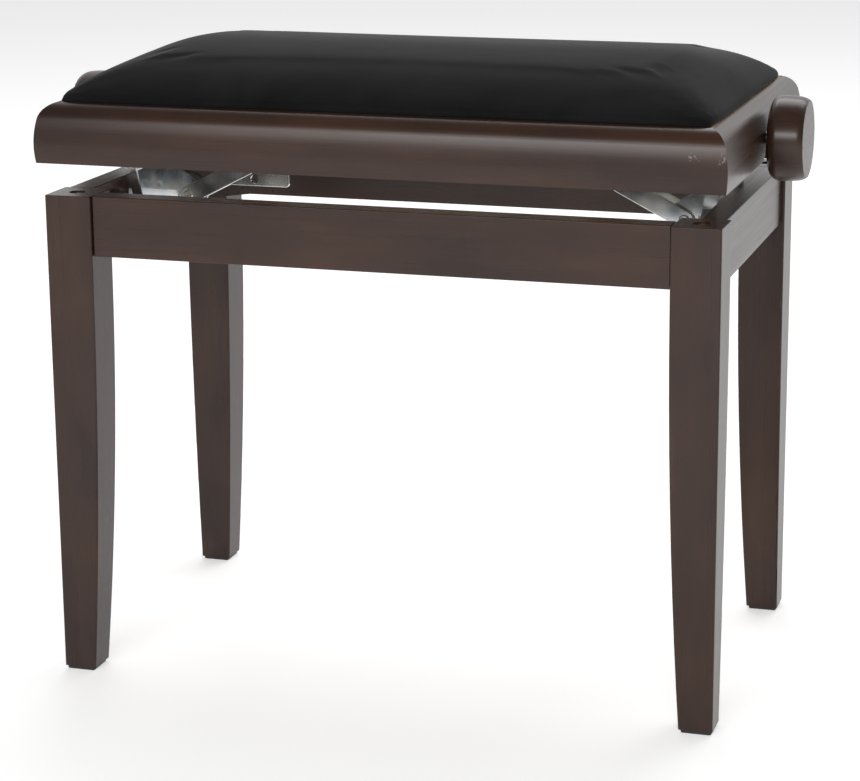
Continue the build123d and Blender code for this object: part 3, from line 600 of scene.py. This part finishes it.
def inflate(piece, held_below):
    """Blow a closed piece up as cloth. Points lower than held_below stay where they are."""
    remesh = piece.modifiers.new("even_cells", "REMESH")
    remesh.mode, remesh.voxel_size = "VOXEL", CELL
    apply_modifiers(piece)
    start = points_of(piece.data)
    held = piece.vertex_groups.new(name="held")
    held.add(np.flatnonzero(start[:, 2] < held_below).tolist(), 1.0, "REPLACE")
    cloth = piece.modifiers.new("cover", "CLOTH")
    cloth.settings.use_pressure = True
    cloth.settings.uniform_pressure_force = PRESSURE
    cloth.settings.vertex_group_mass = "held"
    cloth.settings.effector_weights.gravity = 0.0
    cloth.point_cache.frame_end = STEPS
    for step in range(1, STEPS + 1):
        bpy.context.scene.frame_set(step)
    apply_modifiers(piece)
    bpy.context.scene.frame_set(1)
    travel = points_of(piece.data) - start
    length = np.linalg.norm(travel, axis=1, keepdims=True)
    travel *= np.minimum(1, TRAVEL_CAP / np.maximum(length, 1e-9))
    piece.data.vertices.foreach_set("co", (start + travel).astype(np.float32).ravel())
    print("largest travel in mm:", round(float(length.max()) / MM, 1))


inflate(pad, PAD_BASE + HELD_BELOW)
pad.vertex_groups.clear()

# %% [markdown]
# ## Settling the pad
# Air pushes the thin sides outwards as well as up, so the blown shape is pressed back: its outline is
# brought to the board's edge, and its height is brought to the finished pad's. At the corners the
# cover is folded under, which leaves a few shallow pleats that fan out from each corner.

# %% Press into place and pleat the corners
PLEAT_DEPTH = 0.7 * MM
PLEAT_REACH = 45 * MM
PLEAT_WAVES = 14            # cosine waves in one radian of direction
PLEAT_CLEAR = 8 * MM        # pleats fade in over this distance from the corner
PLEAT_LIFT = 6 * MM         # and over this height above the board
OVERHANG = 0.8 * MM         # the velvet bulges over the board's edge and hides it


def settle(points):
    """Stretch x and y to the pad's outline, scale the height to the pad's own, and sink pleats.

    A pleat's depth is a cosine of the direction from the corner, fading with the distance from it.
    """
    placed = points.copy()
    for axis, half in enumerate(PAD_HALF):
        placed[:, axis] *= (half + OVERHANG) / np.abs(placed[:, axis]).max()
    height = placed[:, 2] - PAD_BASE
    placed[:, 2] = PAD_BASE + np.maximum(height, 0) * (PAD_HEIGHT / height.max())
    to_corner = np.array(PAD_HALF) + OVERHANG - np.abs(placed[:, :2])
    distance = np.hypot(*to_corner.T)
    direction = np.arctan2(to_corner[:, 1], to_corner[:, 0])
    fade = np.exp(-((distance / PLEAT_REACH) ** 2)) * np.clip(distance / PLEAT_CLEAR, 0, 1)
    lift = np.clip(height / PLEAT_LIFT, 0, 1)
    placed[:, 2] -= PLEAT_DEPTH * fade * lift * (0.5 + 0.5 * np.cos(direction * PLEAT_WAVES))
    return placed


pad.data.vertices.foreach_set("co", settle(points_of(pad.data)).astype(np.float32).ravel())
pad.data.polygons.foreach_set("use_smooth", [True] * len(pad.data.polygons))
pad.data.materials.clear()
pad.data.materials.append(velvet)
subdivision = pad.modifiers.new("finer_cover", "SUBSURF")
subdivision.levels = subdivision.render_levels = 1
apply_modifiers(pad)
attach(pad, "seat")
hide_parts("seat_cushion")
print("pad faces:", len(pad.data.polygons))

# %% [markdown]
# ## The threaded spindle
# One bar lifts both ends at once: its right half carries a right-hand thread, and its left half a
# left-hand one, so that the two nuts move apart together. Each has two starts, which doubles the
# travel of a turn. A thread is only a wave wrapped round a rod, so the whole bar is one tube whose
# radius depends on the place along it and on the angle round it.

# %% Spindle
spindle_low, spindle_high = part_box("spindle")
SPINDLE_END = spindle_high.x
SPINDLE_Z = (spindle_low.z + spindle_high.z) / 2
SPINDLE_RADIUS = (spindle_high.z - spindle_low.z) / 2
CORE_RADIUS = 4.3 * MM      # plain middle, turned below the thread
CORE_HALF = 40 * MM
THREAD_END = 234 * MM
THREAD_PITCH = 3 * MM
THREAD_STARTS = 2
THREAD_DEPTH = 0.9 * MM
THREAD_RUNOUT = 4 * MM
STEPS_PER_PITCH = 8
END_CHAMFER = 0.8 * MM
ROUND_STEPS = 40


def spindle_radius(x, angle):
    """Radius of the bar. On the threads it is the full radius less a clipped sine of the phase
    x / pitch - starts * angle, mirrored for the left half. The middle and the ends are plain."""
    phase = 2 * np.pi * np.abs(x) / THREAD_PITCH - THREAD_STARTS * angle
    groove = np.clip(0.5 - 1.1 * np.sin(phase), 0, 1)
    runs_out = np.clip((THREAD_END - np.abs(x)) / THREAD_RUNOUT, 0, 1)
    threaded = SPINDLE_RADIUS - THREAD_DEPTH * groove * runs_out
    radius = np.where(np.abs(x) < CORE_HALF, CORE_RADIUS, threaded)
    return np.minimum(radius, SPINDLE_RADIUS - END_CHAMFER + (SPINDLE_END - np.abs(x)))


half = np.concatenate([
    [0, CORE_HALF - 0.05 * MM], np.arange(CORE_HALF, THREAD_END, THREAD_PITCH / STEPS_PER_PITCH),
    [THREAD_END, SPINDLE_END - END_CHAMFER, SPINDLE_END],
])
stations = np.concatenate([-half[:0:-1], half])
angles = np.linspace(0, 2 * np.pi, ROUND_STEPS, endpoint=False)
along, around = np.meshgrid(stations, angles, indexing="ij")
mirrored_angle = np.where(along < 0, -around, around)
radius = spindle_radius(along, mirrored_angle)
tube = np.stack([along, radius * np.cos(around), SPINDLE_Z + radius * np.sin(around)], axis=-1)
first_of_last_ring = (len(stations) - 1) * ROUND_STEPS
caps = [range(ROUND_STEPS), range(first_of_last_ring, first_of_last_ring + ROUND_STEPS)]
spindle = make_piece("threaded_spindle", tube,
                     [*grid_faces(len(stations), ROUND_STEPS, closed_columns=True), *caps], bright_steel)
make_normals_outward(spindle.data)
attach(spindle, "spindle")
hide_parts("spindle")
print("spindle faces:", len(spindle.data.polygons))
